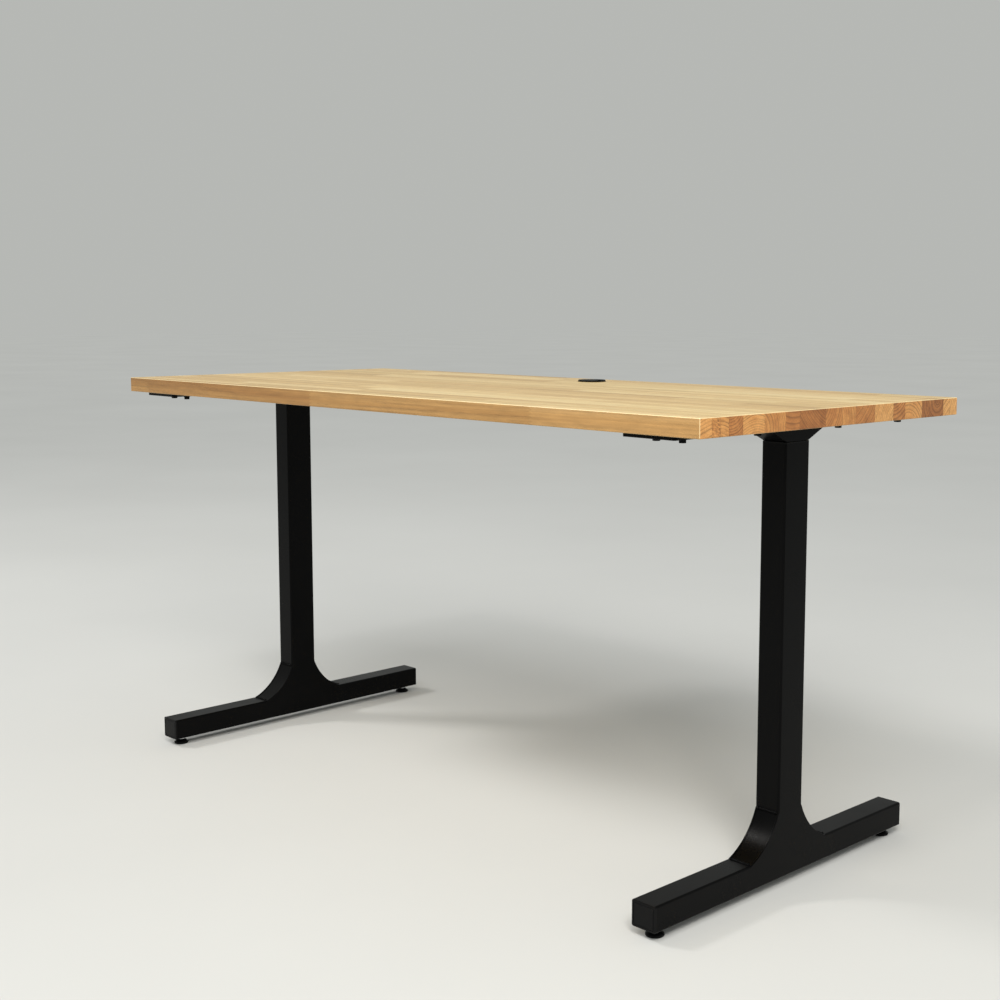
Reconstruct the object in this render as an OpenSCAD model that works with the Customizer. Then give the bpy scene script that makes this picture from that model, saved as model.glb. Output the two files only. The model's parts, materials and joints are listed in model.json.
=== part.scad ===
// Height adjustable desk: a laminated oak worktop on two telescopic steel columns with T-shaped feet.
// Millimetres, +Z up. The origin is on the floor under the middle of the worktop. The front is -Y.
// The columns are drawn fully lowered, which is the rest position.

/* [Worktop] */
// Length of the worktop, left to right
top_len = 1500; // [1300:10:1800]
// Depth of the worktop, front to back
top_dep = 650; // [640:10:800]
// Thickness of the worktop
top_thk = 28; // [24:1:40]
// Height of the worktop's surface with the columns lowered
desk_h = 750; // [740:5:800]
// Distance from the worktop's back edge to the middle of the cable hole
grommet_back = 75; // [60:5:120]
// Diameter of the hole for the cable grommet
grommet_hole = 48; // [40:1:60]

/* [Legs] */
// Distance from the worktop's end to the middle of the leg
leg_inset = 100; // [90:5:160]
// Width of the outer column, along the desk
col_w = 45; // [38:1:50]
// Depth of the outer column, front to back
col_d = 60; // [58:1:80]
// Wall of the outer column and of the foot beam
tube_wall = 2; // [1.5:0.5:2]
// Length of the foot, front to back
foot_len = 630; // [560:10:640]
// Height of the foot beam
foot_h = 40; // [35:1:50]
// Gap from the floor to the underside of the foot beam
foot_gap = 15; // [15:1:16]
// How far a gusset reaches along the foot and up the column
gusset = 65; // [50:1:80]
// Radius of the gusset's hollow curve
gusset_r = 115; // [90:5:150]

/* [Lift] */
// How far the worktop rises
stroke = 430; // [300:10:440]
// Diameter of the lifting spindle
spindle_d = 12; // [10:1:12]
// Diameter of the gear motor inside the inner column
motor_d = 28; // [24:1:28]

/* [Top plates] */
// Width of a top plate
plate_w = 97; // [80:1:110]
// Length of a top plate, front to back
plate_len = 630; // [600:10:630]
// Thickness of a top plate
plate_thk = 6; // [4:1:8]
// How far the head bracket flares out along the plate
flare_reach = 45; // [30:1:60]

/* [Levelling feet] */
// Diameter of a levelling pad
pad_d = 28; // [24:1:32]
// Distance from the end of the foot to a levelling pad's axis
pad_inset = 25; // [22:1:40]

/* [Hidden] */
$fn = 64;
fit = 0.05;      // radial clearance of a shaft in its hole
slack = 0.3;     // clearance between parts that slide past each other
snug = 0.2;      // clearance of a plug, block or loop round what it holds

// heights
under = desk_h - top_thk;
plate_z = under - plate_thk;
head_h = 21.5;
head_z = plate_z - head_h;
collar_flange = 2;
seam = 0.5;
col_top = head_z - seam - collar_flange;
foot_top = foot_gap + foot_h;
leg_x = top_len / 2 - leg_inset;
edge_r = 3;

// telescope
in_wall = 1.5;
in_w = col_w - 2 * tube_wall - 3;
in_d = col_d - 2 * tube_wall - 3;
in_r = 2.5;
in_bottom = foot_top + 20;
shoe_h = 40;
collar_h = 50;

// lifting gear
base_thk = 5;
nut_d = 24;
nut_h = 22;
nut_spigot = 12;
nut_z = 553;
tube_d = 22;
tube_bore = 17;
spindle_low = 120;
bearing_z = nut_z + nut_h + 15;
bearing_h = 14;
journal_d = 8;
journal_h = 22;
motor_z = bearing_z + bearing_h;
motor_room = 18;
motor_h = plate_z - motor_room - motor_z;
motor_groove = 2;
terminal_d = 16;
terminal_h = 12;
cable_rise = 7;
cable_z = motor_z + motor_h + cable_rise;

// a foot's end cap
cap_plate = 3;
plug_dep = 8;

// gussets
cheek_thk = 3;
web_thk = 3;
web_recess = 1;

// top plate bolts: M6 hexagon bolts in threaded inserts
bolt_d = 6;
bolt_len = 20;
bolt_head = 4;
bolt_flats = 10;
washer_thk = 1.6;
plain_washer_d = 12.5;
lock_washer_d = 11;
bolt_x = 24;
bolt_ys = [-270, -102, 102, 270];
insert_d = 9;
insert_len = 13;

// levelling feet
stem_d = 8;
stem_low = 3;
stem_len = 42;
pad_rim = 4;
pad_h = 8;
lock_flats = 13;
lock_h = 4;
sleeve_nut_d = 12;
sleeve_nut_h = 20;
sleeve_rim = 1.5;

// cable grommet
grommet_y = top_dep / 2 - grommet_back;
rim_d = grommet_hole + 6;
rim_thk = 1.5;
cap_thk = 2;
sleeve_wall = 2;
slot_w = 11;
slot_len = 17;
skirt_dep = 5;
skirt_wall = 1.5;
cap_soft = 0.8;

// control box
box_len = 220;
box_dep = 90;
box_h = 26;
box_y = 105;
box_plate = 2;
box_wall = 2;
box_ear = 12;
inlet_w = 28;
inlet_h = 20;
inlet_dep = 20;
inlet_z = under - box_plate - box_h / 2 - 1;
inlet_wall = 2;
blade = [2, 9, 4];
blade_x = 7;
board_thk = 1.6;
board_lift = 4;
board_gap = 10;
board_front = 8;
board_back = 32;
can_d = 14;
can_h = 15;
can_x = 70;
block = [60, 24, 14];
pillar_d = 6;
pillar_x = box_len / 2 - 16;

// handset
set_x = 400;
set_len = 80;
set_dep = 40;
set_h = 12;
set_wall = 1.6;
set_front = -215;
set_ear = 10;
key_w = 14;
key_h = 6;
key_out = 1.2;
key_x = 14;
key_stem = 6;
key_flange = 1;
set_board_gap = 6;
set_board_front = 8;

// cables: each route is a list of points that the cable's middle follows
cable_d = 5;
run_z = under - 3;
gland_d = 8;
gland_flange_d = 12;
gland_flange = 1.5;
motor_route = [
    [leg_x - 8, 0, cable_z], [leg_x - 22, 0, cable_z], [leg_x - 36, 0, cable_z + 2],
    [leg_x - 49, 0, run_z - 8], [leg_x - 58, 0, run_z - 3], [leg_x - 68, 0, run_z],
    [460, 0, run_z], [300, 0, run_z], [280, 3, run_z], [262, 11, run_z],
    [250, 24, run_z], [246, 40, run_z], [242, 62, run_z],
    [230, 80, run_z], [210, 94, run_z], [186, 102, run_z - 1], [160, 105, run_z - 5],
    [134, 105, run_z - 10], [box_len / 2, 105, run_z - 11]
];
handset_route = [
    [set_x, set_front + set_dep, run_z - 2], [set_x, -163, run_z - 2], [set_x, -150, run_z - 1],
    [397, -132, run_z], [388, -116, run_z], [372, -104, run_z], [352, -100, run_z],
    [220, -100, run_z], [100, -100, run_z], [82, -97, run_z], [66, -88, run_z],
    [54, -72, run_z], [50, -52, run_z], [50, 0, run_z], [50, 24, run_z - 4],
    [50, 44, run_z - 9], [50, box_y - box_dep / 2, run_z - 10]
];
motor_clips = [560, 440, 320];
handset_clips = [300, 150];
clip_len = 8;
clip_w = 14;
clip_h = 7.5;

// wood screws
screw_d = 3.4;
screw_head = 7;
screw_head_h = 2;
screw_len = 16;
box_screws = [for (x = [-1, 1], y = [-1, 1]) [x * (box_len / 2 + box_ear / 2), box_y + y * box_dep / 3]];
set_screws = [for (x = [-1, 1]) [set_x + x * (set_len / 2 + set_ear / 2), set_front + set_dep / 2]];

steel_black = [0.03, 0.03, 0.035];
plastic_black = [0.05, 0.05, 0.05];
zinc = [0.7, 0.72, 0.74];
oak = [0.82, 0.62, 0.38];

// ---------- shared shapes ----------

// A rectangle with round corners, centred
module round_rect(x, y, r) {
    square([x - 2 * r, y], center = true);
    square([x, y - 2 * r], center = true);
    for (i = [-1, 1], j = [-1, 1])
        translate([i * (x / 2 - r), j * (y / 2 - r)])
            circle(r);
}

// A rectangular tube standing on z = 0
module tube(x, y, wall, r, h) {
    linear_extrude(h)
        difference() {
            round_rect(x, y, r);
            round_rect(x - 2 * wall, y - 2 * wall, max(r - wall, 0.5));
        }
}

// A ring standing on z = 0
module ring(d, bore, h) {
    difference() {
        cylinder(d = d, h = h);
        translate([0, 0, -1])
            cylinder(d = bore, h = h + 2);
    }
}

// Turns a front-to-back profile (y, z) into a plate of thickness t, centred on x = 0
module side_plate(t) {
    rotate([90, 0, 90])
        translate([0, 0, -t / 2])
            linear_extrude(t)
                children();
}

module at_leg(side) {
    translate([side * leg_x, 0, 0])
        children();
}

// Places a child at each of one foot's two levelling feet
module at_levellers() {
    for (y = [-1, 1])
        translate([0, y * (foot_len / 2 - pad_inset), 0])
            children();
}

module at_bolts() {
    for (side = [-1, 1], x = [-1, 1], y = bolt_ys)
        translate([side * leg_x + x * bolt_x, y, 0])
            children();
}

// ---------- foot and outer column ----------

module foot_beam(side) {
    color(steel_black)
        at_leg(side)
            difference() {
                translate([0, foot_len / 2 - cap_plate, foot_gap + foot_h / 2])
                    rotate([90, 0, 0])
                        tube(col_w, foot_h, tube_wall, edge_r, foot_len - 2 * cap_plate);
                at_levellers()
                    translate([0, 0, foot_gap - 1])
                        cylinder(d = sleeve_nut_d + 2 * fit, h = tube_wall + 2);
            }
}

module outer_column(side) {
    color(steel_black)
        at_leg(side)
            translate([0, 0, foot_top])
                tube(col_w, col_d, tube_wall, edge_r, col_top - foot_top);
}

// Centre of the gusset's hollow curve, from the inner corner of the gusset
function arc_centre() = gusset / 2 + sqrt(pow(gusset_r, 2) - pow(gusset, 2) / 2) / sqrt(2);

// The corner between column and foot, cut back to the radius r about the curve's centre
module gusset_profile(r) {
    difference() {
        square(gusset);
        translate([arc_centre(), arc_centre()])
            circle(r, $fn = 180);
    }
}

module one_gusset() {
    translate([0, col_d / 2, foot_top]) {
        for (x = [-1, 1])
            translate([x * (col_w - cheek_thk) / 2, 0, 0])
                side_plate(cheek_thk)
                    gusset_profile(gusset_r);
        side_plate(col_w - 2 * cheek_thk)
            difference() {
                gusset_profile(gusset_r + web_recess);
                gusset_profile(gusset_r + web_recess + web_thk);
            }
    }
}

// Two flush side cheeks and one curved web, in front of and behind the column
module gussets(side) {
    color(steel_black)
        at_leg(side) {
            one_gusset();
            mirror([0, 1, 0])
                one_gusset();
        }
}

module foot_caps(side) {
    plug = foot_h - 2 * tube_wall - 2 * snug;
    color(plastic_black)
        at_leg(side)
            for (end = [0, 180])
                rotate([0, 0, end])
                    translate([0, foot_len / 2, foot_gap + foot_h / 2])
                        rotate([90, 0, 0]) {
                            linear_extrude(cap_plate)
                                round_rect(col_w, foot_h, edge_r);
                            translate([0, 0, cap_plate])
                                linear_extrude(plug_dep)
                                    round_rect(col_w - foot_h + plug, plug, 1);
                        }
}

module base_plate(side) {
    color(zinc)
        at_leg(side)
            translate([0, 0, foot_top])
                linear_extrude(base_thk)
                    round_rect(col_w - 2 * tube_wall - 2 * snug, col_d - 2 * tube_wall - 2 * snug, 1);
}

module push_tube(side) {
    color(zinc)
        at_leg(side)
            translate([0, 0, foot_top + base_thk])
                ring(tube_d, tube_bore, nut_z - foot_top - base_thk);
}

module lift_nut(side) {
    color("ivory")
        at_leg(side)
            translate([0, 0, nut_z])
                difference() {
                    union() {
                        cylinder(d = nut_d, h = nut_h);
                        translate([0, 0, -nut_spigot])
                            cylinder(d = tube_bore - snug, h = nut_spigot + 1);
                    }
                    translate([0, 0, -nut_spigot - 1])
                        cylinder(d = spindle_d + 2 * fit, h = nut_spigot + nut_h + 2);
                }
}

// Plastic bush in the mouth of the outer column. Its rim is the seam under the head bracket.
module guide_collar(side) {
    color(plastic_black)
        at_leg(side)
            difference() {
                union() {
                    translate([0, 0, col_top])
                        linear_extrude(collar_flange)
                            round_rect(col_w, col_d, edge_r);
                    translate([0, 0, col_top - collar_h])
                        linear_extrude(collar_h + 1)
                            round_rect(col_w - 2 * tube_wall - 2 * fit, col_d - 2 * tube_wall - 2 * fit, 1);
                }
                translate([0, 0, col_top - collar_h - 1])
                    linear_extrude(collar_h + collar_flange + 2)
                        round_rect(in_w + 2 * slack, in_d + 2 * slack, in_r);
            }
}

// ---------- levelling feet ----------

// Threaded sleeves set in the underside of the foot beam
module leveller_nuts(side) {
    color(zinc)
        at_leg(side)
            at_levellers()
                difference() {
                    union() {
                        translate([0, 0, foot_gap - sleeve_rim])
                            cylinder(d = sleeve_nut_d + 4, h = sleeve_rim);
                        translate([0, 0, foot_gap - sleeve_rim])
                            cylinder(d = sleeve_nut_d, h = sleeve_nut_h);
                    }
                    translate([0, 0, foot_gap - sleeve_rim - 1])
                        cylinder(d = stem_d + 2 * fit, h = sleeve_nut_h + 2);
                }
}

module at_leveller(side, end) {
    translate([side * leg_x, end * (foot_len / 2 - pad_inset), 0])
        children();
}

module pad(side, end) {
    color(plastic_black)
        at_leveller(side, end)
            difference() {
                rotate_extrude()
                    polygon([[0, 0], [pad_d / 2 - 1, 0], [pad_d / 2, 1], [pad_d / 2, pad_rim],
                             [stem_d, pad_h], [0, pad_h]]);
                translate([0, 0, stem_low - fit])
                    cylinder(d = stem_d + 2 * fit, h = pad_h);
            }
}

module stem(side, end) {
    color(zinc)
        at_leveller(side, end) {
            translate([0, 0, stem_low])
                cylinder(d = stem_d, h = stem_len);
            translate([0, 0, foot_gap - sleeve_rim - seam - lock_h])
                cylinder(d = lock_flats / cos(30), h = lock_h, $fn = 6);
        }
}

// ---------- worktop ----------

module tabletop() {
    color(oak)
        difference() {
            translate([-top_len / 2, -top_dep / 2, under])
                cube([top_len, top_dep, top_thk]);
            translate([0, grommet_y, under - 1])
                cylinder(d = grommet_hole + 2 * fit, h = top_thk + 2);
            at_bolts()
                translate([0, 0, under - 1])
                    cylinder(d = insert_d + 2 * fit, h = insert_len + 3);
            for (p = concat(box_screws, set_screws))
                translate([p[0], p[1], under - 1])
                    cylinder(d = screw_d + 2 * fit, h = screw_len);
        }
}

module top_plate(side) {
    color(steel_black)
        difference() {
            at_leg(side)
                translate([0, 0, plate_z])
                    linear_extrude(plate_thk)
                        round_rect(plate_w, plate_len, edge_r);
            at_bolts()
                translate([0, 0, plate_z - 1])
                    cylinder(d = bolt_d + 2 * slack, h = plate_thk + 2);
        }
}

// A front-to-back outline that widens from half_low at z_low to half_high at z_high
module flare_profile(half_low, z_low, half_high, z_high) {
    polygon([[-half_high, z_high], [-half_low, z_low], [half_low, z_low], [half_high, z_high]]);
}

// Flared bracket under the top plate, welded round the head of the inner column
module head_bracket(side) {
    lip = 3;
    half_high = col_d / 2 + flare_reach;
    color(steel_black)
        at_leg(side)
            difference() {
                side_plate(col_w)
                    flare_profile(col_d / 2, head_z, half_high, plate_z);
                side_plate(in_w + 2 * fit)
                    flare_profile(in_d / 2, head_z + lip, half_high - 2 * lip, plate_z + 0.01);
                translate([0, 0, head_z - 1])
                    linear_extrude(head_h + 2)
                        round_rect(in_w + 2 * fit, in_d + 2 * fit, in_r);
                cable_hole(side);
            }
}

// Hole for the motor cable through the inward side, drawn about the leg's own axis
module cable_hole(side) {
    translate([-side * col_w / 2, 0, cable_z])
        rotate([0, 90, 0])
            cylinder(d = gland_d, h = col_w / 2 + 4, center = true);
}

module inner_column(side) {
    color([0.1, 0.1, 0.11])
        at_leg(side)
            difference() {
                translate([0, 0, in_bottom])
                    tube(in_w, in_d, in_wall, in_r, plate_z - in_bottom);
                cable_hole(side);
            }
}

module glide_shoe(side) {
    color("ivory")
        at_leg(side)
            translate([0, 0, in_bottom])
                linear_extrude(shoe_h)
                    difference() {
                        round_rect(col_w - 2 * tube_wall - 2 * slack, col_d - 2 * tube_wall - 2 * slack, 1);
                        round_rect(in_w + 2 * fit, in_d + 2 * fit, in_r);
                    }
}

// ---------- lifting gear ----------

module gear_motor(side) {
    color("gray")
        at_leg(side)
            difference() {
                union() {
                    translate([0, 0, motor_z])
                        cylinder(d = motor_d, h = motor_h);
                    translate([0, 0, motor_z + motor_h])
                        cylinder(d = terminal_d, h = terminal_h);
                }
                translate([0, 0, motor_z - 1])
                    cylinder(d = journal_d + 2 * fit, h = journal_h);
                translate([0, 0, motor_z + motor_h / 2])
                    ring(motor_d + 2, motor_d - 1, motor_groove);
            }
}

module spindle_bearing(side) {
    color("gray")
        at_leg(side)
            translate([0, 0, bearing_z])
                difference() {
                    linear_extrude(bearing_h)
                        round_rect(in_w - 2 * in_wall - snug, in_d - 2 * in_wall - snug, 1);
                    translate([0, 0, -1])
                        cylinder(d = journal_d + 2 * fit, h = bearing_h + 2);
                }
}

module spindle(side) {
    color("silver")
        at_leg(side) {
            translate([0, 0, spindle_low])
                cylinder(d = spindle_d, h = bearing_z - 1 - spindle_low);
            translate([0, 0, bearing_z - 2])
                cylinder(d = journal_d, h = journal_h + 8);
        }
}

// ---------- fasteners ----------

module plate_bolts() {
    color(plastic_black)
        at_bolts()
            translate([0, 0, plate_z - 2 * washer_thk]) {
                cylinder(d = bolt_d, h = bolt_len);
                translate([0, 0, -bolt_head])
                    cylinder(d = bolt_flats / cos(30), h = bolt_head, $fn = 6);
            }
}

// A flat washer against the plate and a lock washer under it
module plate_washers() {
    color(plastic_black)
        at_bolts() {
            translate([0, 0, plate_z - washer_thk])
                ring(plain_washer_d, bolt_d + 2 * snug, washer_thk);
            translate([0, 0, plate_z - 2 * washer_thk])
                ring(lock_washer_d, bolt_d + 2 * snug, washer_thk);
        }
}

module threaded_inserts() {
    color("goldenrod")
        at_bolts()
            translate([0, 0, under])
                ring(insert_d, bolt_d + 2 * fit, insert_len);
}

// Screw head downwards; z is the face that the head bears on
module wood_screw(z) {
    translate([0, 0, z])
        cylinder(d = screw_d, h = screw_len - 4);
    translate([0, 0, z - screw_head_h])
        cylinder(d = screw_head, h = screw_head_h);
}

module wood_screws() {
    color(zinc) {
        for (p = box_screws)
            translate([p[0], p[1], 0])
                wood_screw(under - box_plate);
        for (p = set_screws)
            translate([p[0], p[1], 0])
                wood_screw(under - 2 * set_wall);
    }
}

// ---------- cable grommet ----------

module grommet_sleeve() {
    color(plastic_black)
        translate([0, grommet_y, 0])
            difference() {
                union() {
                    translate([0, 0, desk_h])
                        cylinder(d = rim_d, h = rim_thk);
                    translate([0, 0, under])
                        cylinder(d = grommet_hole, h = top_thk + 1);
                }
                translate([0, 0, under - 1])
                    cylinder(d = grommet_hole - 2 * sleeve_wall, h = top_thk + 4);
            }
}

// Lift-out lid with a slot for cables at its right-hand side
module grommet_cap() {
    skirt_d = grommet_hole - 2 * sleeve_wall - 2 * slack;
    color(plastic_black)
        translate([0, grommet_y, desk_h + rim_thk])
            difference() {
                union() {
                    rotate_extrude()
                        polygon([[0, 0], [rim_d / 2 - seam, 0], [rim_d / 2 - seam, cap_thk - cap_soft],
                                 [rim_d / 2 - seam - cap_soft, cap_thk], [0, cap_thk]]);
                    translate([0, 0, -skirt_dep])
                        ring(skirt_d, skirt_d - 2 * skirt_wall, skirt_dep + 1);
                }
                translate([rim_d / 2 - slot_len, -slot_w / 2, -skirt_dep - 1])
                    cube([slot_len, slot_w, skirt_dep + cap_thk + 2]);
            }
}

// ---------- control box ----------

module control_box_plate() {
    color(zinc)
        difference() {
            translate([0, box_y, under - box_plate])
                linear_extrude(box_plate)
                    round_rect(box_len + 2 * box_ear, box_dep, 3);
            for (p = box_screws)
                translate([p[0], p[1], under - box_plate - 1])
                    cylinder(d = screw_d + 2 * slack, h = box_plate + 2);
        }
}

module control_box_case() {
    color(plastic_black)
        translate([0, box_y, under - box_plate - box_h])
            difference() {
                linear_extrude(box_h)
                    round_rect(box_len, box_dep, 4);
                translate([0, 0, box_wall])
                    linear_extrude(box_h)
                        round_rect(box_len - 2 * box_wall, box_dep - 2 * box_wall, 2);
                translate([-inlet_w / 2, box_dep / 2 - box_wall - 1, box_h / 2 - 1 - inlet_h / 2])
                    cube([inlet_w, box_wall + 2, inlet_h]);
            }
}

module control_board() {
    board_z = under - box_plate - box_h + box_wall + board_lift;
    color("darkgreen")
        translate([-box_len / 2 + board_gap, box_y - box_dep / 2 + board_front, board_z])
            cube([box_len - 2 * board_gap, box_dep - board_front - board_back, board_thk]);
    color("gray")
        translate([0, box_y, board_z + board_thk]) {
            for (x = [-1, 1])
                translate([x * can_x, -box_dep / 2 + 25, 0])
                    cylinder(d = can_d, h = can_h);
            translate([-block[0] / 2, -box_dep / 2 + board_front + 3, 0])
                cube(block);
        }
    // pillars that hold the board off the floor of the case
    color(plastic_black)
        for (x = [-1, 1], y = [-30, 0])
            translate([x * pillar_x, box_y + y, board_z - board_lift])
                cylinder(d = pillar_d, h = board_lift);
}

// Recessed appliance inlet with three blades
module mains_inlet() {
    color(plastic_black)
        translate([0, box_y + box_dep / 2, inlet_z])
            difference() {
                translate([-inlet_w / 2, -inlet_dep, -inlet_h / 2])
                    cube([inlet_w, inlet_dep, inlet_h]);
                translate([-inlet_w / 2 + inlet_wall, -inlet_dep + inlet_wall, -inlet_h / 2 + inlet_wall])
                    cube([inlet_w - 2 * inlet_wall, inlet_dep, inlet_h - 2 * inlet_wall]);
            }
    // the middle blade stands higher than the outer two
    color("silver")
        for (i = [-1, 0, 1])
            translate([i * blade_x - blade[0] / 2, box_y + box_dep / 2 - inlet_dep + inlet_wall,
                       inlet_z + (i == 0 ? 3 : -1) - blade[2] / 2])
                cube(blade);
}

// ---------- handset ----------

module handset_housing() {
    color(plastic_black)
        difference() {
            translate([set_x, set_front + set_dep / 2, 0]) {
                translate([0, 0, under - set_h])
                    linear_extrude(set_h)
                        round_rect(set_len, set_dep, 3);
                translate([0, 0, under - 2 * set_wall])
                    linear_extrude(2 * set_wall)
                        round_rect(set_len + 2 * set_ear, set_dep - 16, 3);
            }
            translate([set_x, set_front + set_dep / 2, under - set_h + set_wall])
                linear_extrude(set_h)
                    round_rect(set_len - 2 * set_wall, set_dep - 2 * set_wall, 1.5);
            for (s = [-1, 1])
                translate([set_x + s * key_x - key_w / 2, set_front, under - set_h / 2 - key_h / 2])
                    translate([-slack, -1, -slack])
                        cube([key_w + 2 * slack, set_wall + 2, key_h + 2 * slack]);
            for (p = set_screws)
                translate([p[0], p[1], under - set_h - 1])
                    cylinder(d = screw_d + 2 * slack, h = set_h + 2);
        }
}

module handset_board() {
    color("darkgreen")
        translate([set_x - set_len / 2, set_front, under - set_h])
            translate([set_board_gap, set_board_front, set_wall])
                cube([set_len - 2 * set_board_gap, board_thk, set_h - set_wall - 1]);
}

// A key and the flange that keeps it in its window
module key(side) {
    color([0.3, 0.3, 0.32])
        translate([set_x + side * key_x, set_front, under - set_h / 2]) {
            translate([-key_w / 2, -key_out, -key_h / 2])
                cube([key_w, key_out + key_stem, key_h]);
            translate([-key_w / 2 - key_flange, set_wall + slack, -key_h / 2 - key_flange])
                cube([key_w + 2 * key_flange, 1.5 * key_flange, key_h + 2 * key_flange]);
        }
}

// ---------- cables ----------

function unit(v) = v / norm(v);
function heading(p, i) = unit(p[min(i + 1, len(p) - 1)] - p[max(i - 1, 0)]);

// One ring of points about the route's point i
function cable_ring(p, i, sides) =
    let (ahead = heading(p, i), across = unit(cross([0, 0, 1], ahead)), up = cross(ahead, across))
    [for (k = [0:sides - 1])
        p[i] + cable_d / 2 * (cos(360 * k / sides) * across + sin(360 * k / sides) * up)];

module cable(route) {
    sides = 8;
    last = len(route) - 1;
    rings = [for (i = [0:last]) each cable_ring(route, i, sides)];
    walls = [for (i = [0:last - 1], k = [0:sides - 1])
        let (a = i * sides + k, b = i * sides + (k + 1) % sides)
        each [[a, a + sides, b], [b, a + sides, b + sides]]];
    ends = [[for (k = [0:sides - 1]) k], [for (k = [sides - 1:-1:0]) last * sides + k]];
    color(plastic_black)
        polyhedron(rings, concat(walls, ends), convexity = 6);
}

module right_motor_cable() {
    cable(motor_route);
}

module left_motor_cable() {
    mirror([1, 0, 0])
        cable(motor_route);
}

module handset_cable() {
    cable(handset_route);
}

// Rubber bushes where the motor cables leave the head brackets
module cable_glands() {
    color(plastic_black)
        for (side = [-1, 1])
            translate([side * (leg_x - col_w / 2), 0, cable_z])
                rotate([0, -side * 90, 0])
                    difference() {
                        union() {
                            cylinder(d = gland_flange_d, h = gland_flange);
                            translate([0, 0, -2 * gland_flange])
                                cylinder(d = gland_d - 2 * fit, h = 2 * gland_flange + 1);
                        }
                        translate([0, 0, -4])
                            cylinder(d = cable_d + 2 * slack, h = 7);
                    }
}

module one_clip() {
    translate([0, 0, under - clip_h])
        difference() {
            translate([-clip_len / 2, -clip_w / 2, 0])
                cube([clip_len, clip_w, clip_h]);
            translate([0, 0, run_z - under + clip_h])
                rotate([0, 90, 0])
                    cylinder(d = cable_d + 2 * snug, h = clip_len + 2, center = true);
        }
}

module cable_clips() {
    color("white") {
        for (side = [-1, 1], x = motor_clips)
            translate([side * x, 0, 0])
                one_clip();
        for (x = handset_clips)
            translate([x, -100, 0])
                one_clip();
    }
}

foot_beam(-1);  // left_foot_beam
outer_column(-1);  // left_outer_column
gussets(-1);  // left_gussets
foot_caps(-1);  // left_foot_caps
base_plate(-1);  // left_base_plate
push_tube(-1);  // left_push_tube
lift_nut(-1);  // left_lift_nut
guide_collar(-1);  // left_guide_collar
leveller_nuts(-1);  // left_leveller_nuts
foot_beam(1);  // right_foot_beam
outer_column(1);  // right_outer_column
gussets(1);  // right_gussets
foot_caps(1);  // right_foot_caps
base_plate(1);  // right_base_plate
push_tube(1);  // right_push_tube
lift_nut(1);  // right_lift_nut
guide_collar(1);  // right_guide_collar
leveller_nuts(1);  // right_leveller_nuts
pad(-1, -1);  // left_front_pad
pad(-1, 1);  // left_rear_pad
pad(1, -1);  // right_front_pad
pad(1, 1);  // right_rear_pad
stem(-1, -1);  // left_front_stem
stem(-1, 1);  // left_rear_stem
stem(1, -1);  // right_front_stem
stem(1, 1);  // right_rear_stem
tabletop();
top_plate(-1);  // left_top_plate
top_plate(1);  // right_top_plate
head_bracket(-1);  // left_head_bracket
head_bracket(1);  // right_head_bracket
inner_column(-1);  // left_inner_column
inner_column(1);  // right_inner_column
glide_shoe(-1);  // left_glide_shoe
glide_shoe(1);  // right_glide_shoe
gear_motor(-1);  // left_gear_motor
gear_motor(1);  // right_gear_motor
spindle_bearing(-1);  // left_spindle_bearing
spindle_bearing(1);  // right_spindle_bearing
spindle(-1);  // left_spindle
spindle(1);  // right_spindle
plate_bolts();
plate_washers();
threaded_inserts();
grommet_sleeve();
grommet_cap();
control_box_plate();
control_box_case();
control_board();
mains_inlet();
handset_housing();
handset_board();
key(-1);  // up_button
key(1);  // down_button
left_motor_cable();
right_motor_cable();
handset_cable();
cable_glands();
cable_clips();
wood_screws();
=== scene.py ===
"""Height adjustable desk: the finished look of every part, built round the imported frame."""

import json
import math
import random

import bmesh
import bpy
from mathutils import Matrix, Vector


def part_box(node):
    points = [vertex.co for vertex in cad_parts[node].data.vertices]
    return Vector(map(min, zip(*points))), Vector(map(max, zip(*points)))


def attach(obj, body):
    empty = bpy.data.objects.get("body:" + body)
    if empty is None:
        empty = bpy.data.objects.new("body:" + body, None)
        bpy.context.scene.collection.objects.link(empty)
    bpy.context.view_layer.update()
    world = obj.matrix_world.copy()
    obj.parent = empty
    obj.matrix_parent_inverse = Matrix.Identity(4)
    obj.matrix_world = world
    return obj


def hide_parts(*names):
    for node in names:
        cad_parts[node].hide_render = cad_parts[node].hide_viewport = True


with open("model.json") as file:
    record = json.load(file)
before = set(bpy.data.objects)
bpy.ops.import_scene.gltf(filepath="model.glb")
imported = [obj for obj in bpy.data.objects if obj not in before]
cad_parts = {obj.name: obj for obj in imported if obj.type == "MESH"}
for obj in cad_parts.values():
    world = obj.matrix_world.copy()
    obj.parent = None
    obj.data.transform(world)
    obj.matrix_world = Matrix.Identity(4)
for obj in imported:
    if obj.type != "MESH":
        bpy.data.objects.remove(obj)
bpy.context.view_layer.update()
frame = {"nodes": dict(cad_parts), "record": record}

MM = 0.001
SIDES = ("left", "right")
CORNERS = ("left_front", "left_rear", "right_front", "right_rear")


# ---------- shapes ----------


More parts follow.
